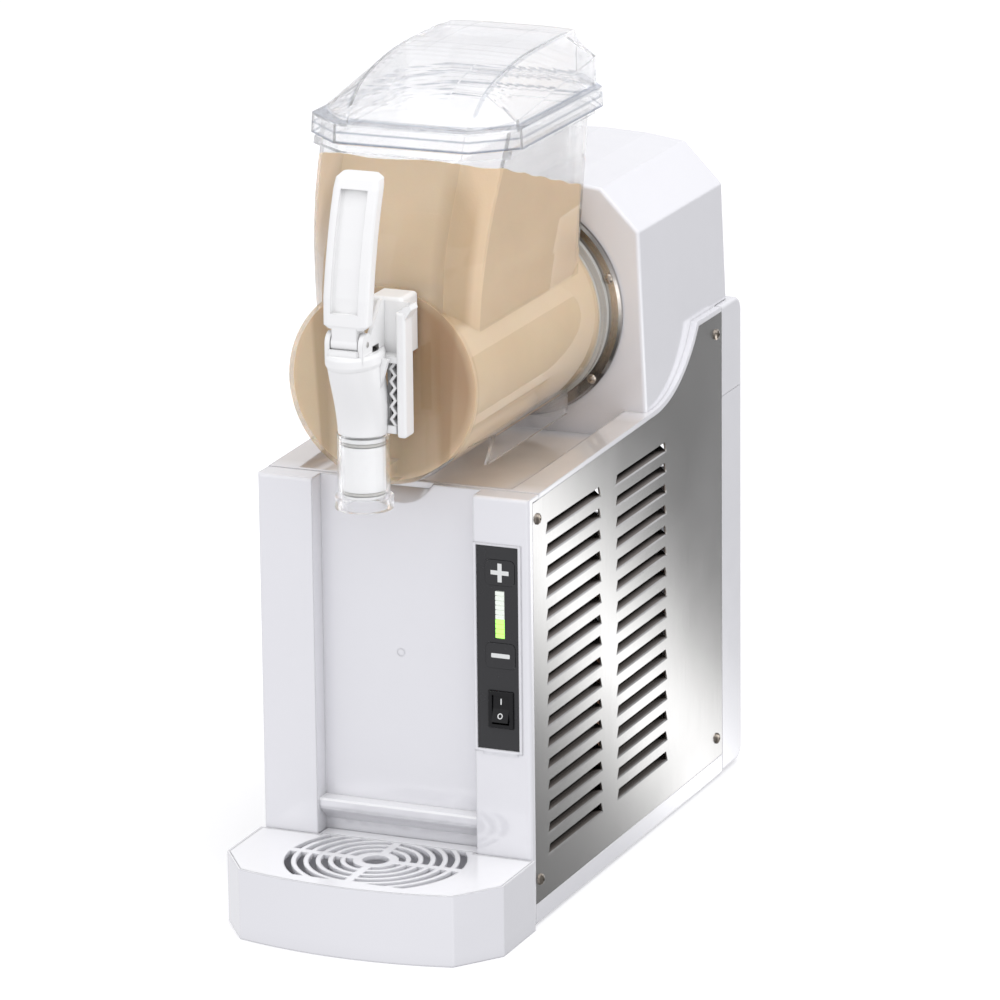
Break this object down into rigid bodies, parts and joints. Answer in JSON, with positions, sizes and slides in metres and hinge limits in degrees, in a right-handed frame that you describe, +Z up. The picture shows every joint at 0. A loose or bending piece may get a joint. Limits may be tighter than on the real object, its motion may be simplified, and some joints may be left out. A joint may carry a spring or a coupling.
{
  "type": "slush machine",
  "caption": "Countertop slush dispenser: white casing with louvred steel sides, clear bowl with hinged tap lever, stepped hood, drip tray with round grid.",
  "frame": {"origin": "middle of the footprint, tray and casing together, on the surface the machine stands on", "axes": "+Z up, -Y towards the person serving, X across the machine with X = 0 on the casing's plane of symmetry"},
  "size_m": [0.169, 0.412, 0.4798],
  "materials": {
    "white_casing": "glossy white moulded plastic",
    "white_tap": "satin white moulded plastic",
    "clear_plastic": "clear moulded plastic",
    "steel_panel": "brushed stainless sheet",
    "steel_part": "polished stainless steel",
    "screw_steel": "plated steel",
    "galvanised": "galvanised sheet",
    "black_plastic": "satin black plastic",
    "fascia_black": "black printed fascia",
    "led_green": "lit green diffuser",
    "led_white": "white diffuser",
    "dark_rubber": "black rubber",
    "grey_rubber": "food grade grey silicone",
    "copper": "drawn copper tube",
    "compressor_black": "black enamel",
    "fin_aluminium": "plain aluminium fin",
    "gear_grey": "grey cast housing",
    "board_green": "green circuit board",
    "brass_part": "plain brass"
  },
  "bodies": {
    "machine": {"base_pan": "white_casing", "rubber_feet": "dark_rubber", "chassis_plate": "galvanised", "bulkhead": "galvanised", "front_cover": "white_casing", "top_cover": "white_casing", "side_panel_right": "steel_panel", "side_panel_left": "steel_panel", "panel_screws": "screw_steel", "rear_cover": "white_casing", "rear_top_cover": "white_casing", "rear_screws": "screw_steel", "control_fascia": "fascia_black", "led_segments_lit": "led_green", "led_segments_off": "led_white", "switch_bezel": "black_plastic", "evaporator_drum": "steel_part", "evaporator_coil": "copper", "drum_flange": "steel_part", "flange_screws": "screw_steel", "bowl_gasket": "grey_rubber", "shaft_seal": "grey_rubber", "shaft_bearing": "brass_part", "gearbox": "gear_grey", "gear_motor": "steel_part", "fan_shroud": "galvanised", "fan_motor": "gear_grey", "condenser_core": "fin_aluminium", "condenser_tubes": "copper", "compressor": "compressor_black", "compressor_mounts": "dark_rubber", "filter_drier": "copper", "suction_line": "copper", "discharge_line": "copper", "control_board": "board_green", "power_supply": "galvanised", "power_inlet": "black_plastic"},
    "bowl": {"bowl": "clear_plastic", "tap_body": "white_tap", "handle_pin": "steel_part", "tap_spring": "white_tap"},
    "lid": {"lid": "clear_plastic"},
    "plunger": {"tap_plunger": "white_tap", "plunger_o_rings": "grey_rubber", "plunger_pin": "steel_part"},
    "lever": {"tap_handle": "white_tap"},
    "auger": {"auger": "white_tap", "auger_nut": "white_tap", "drive_shaft": "steel_part"},
    "fan": {"fan_blade": "black_plastic"},
    "tray": {"drip_tray": "white_casing"},
    "grid": {"drip_grid": "white_casing"},
    "rocker": {"power_rocker": "black_plastic"},
    "plus_key": {"plus_button": "fascia_black"},
    "minus_key": {"minus_button": "fascia_black"}
  },
  "joints": [
    {"name": "bowl_pull", "type": "slide", "parent": "machine", "child": "bowl", "axis": [0, -1, 0], "range_m": [0, 0.19]},
    {"name": "lid_lift", "type": "slide", "parent": "bowl", "child": "lid", "axis": [0, 0, 1], "range_m": [0, 0.06]},
    {"name": "tap_lever", "type": "hinge", "parent": "bowl", "child": "lever", "pos_m": [0, -0.18, 0.347], "axis": [1, 0, 0], "range_deg": [0, 45]},
    {"name": "plunger_lift", "type": "slide", "parent": "bowl", "child": "plunger", "axis": [0, 0, 1], "range_m": [0, 0.015], "stiffness_N_per_m": 400, "springref_m": -0.01, "deforming": ["tap_spring"]},
    {"name": "auger_spin", "type": "hinge", "parent": "machine", "child": "auger", "pos_m": [0, -0.045, 0.3123], "axis": [0, 1, 0], "continuous": true},
    {"name": "fan_spin", "type": "hinge", "parent": "machine", "child": "fan", "pos_m": [0, 0.121, 0.092], "axis": [0, 1, 0], "continuous": true},
    {"name": "tray_pull", "type": "slide", "parent": "machine", "child": "tray", "axis": [0, -1, 0], "range_m": [0, 0.06]},
    {"name": "grid_lift", "type": "slide", "parent": "tray", "child": "grid", "axis": [0, 0, 1], "range_m": [0, 0.03]},
    {"name": "power_rocker", "type": "hinge", "parent": "machine", "child": "rocker", "pos_m": [0.065, -0.1238, 0.1284], "axis": [1, 0, 0], "range_deg": [0, 24]},
    {"name": "plus_press", "type": "slide", "parent": "machine", "child": "plus_key", "axis": [0, 1, 0], "range_m": [0, 0.0006], "stiffness_N_per_m": 800},
    {"name": "minus_press", "type": "slide", "parent": "machine", "child": "minus_key", "axis": [0, 1, 0], "range_m": [0, 0.0006], "stiffness_N_per_m": 800}
  ],
  "couplings": [
    {"joint": "plunger_lift", "follows": "tap_lever", "m_per_rad": 0.01898}
  ]
}
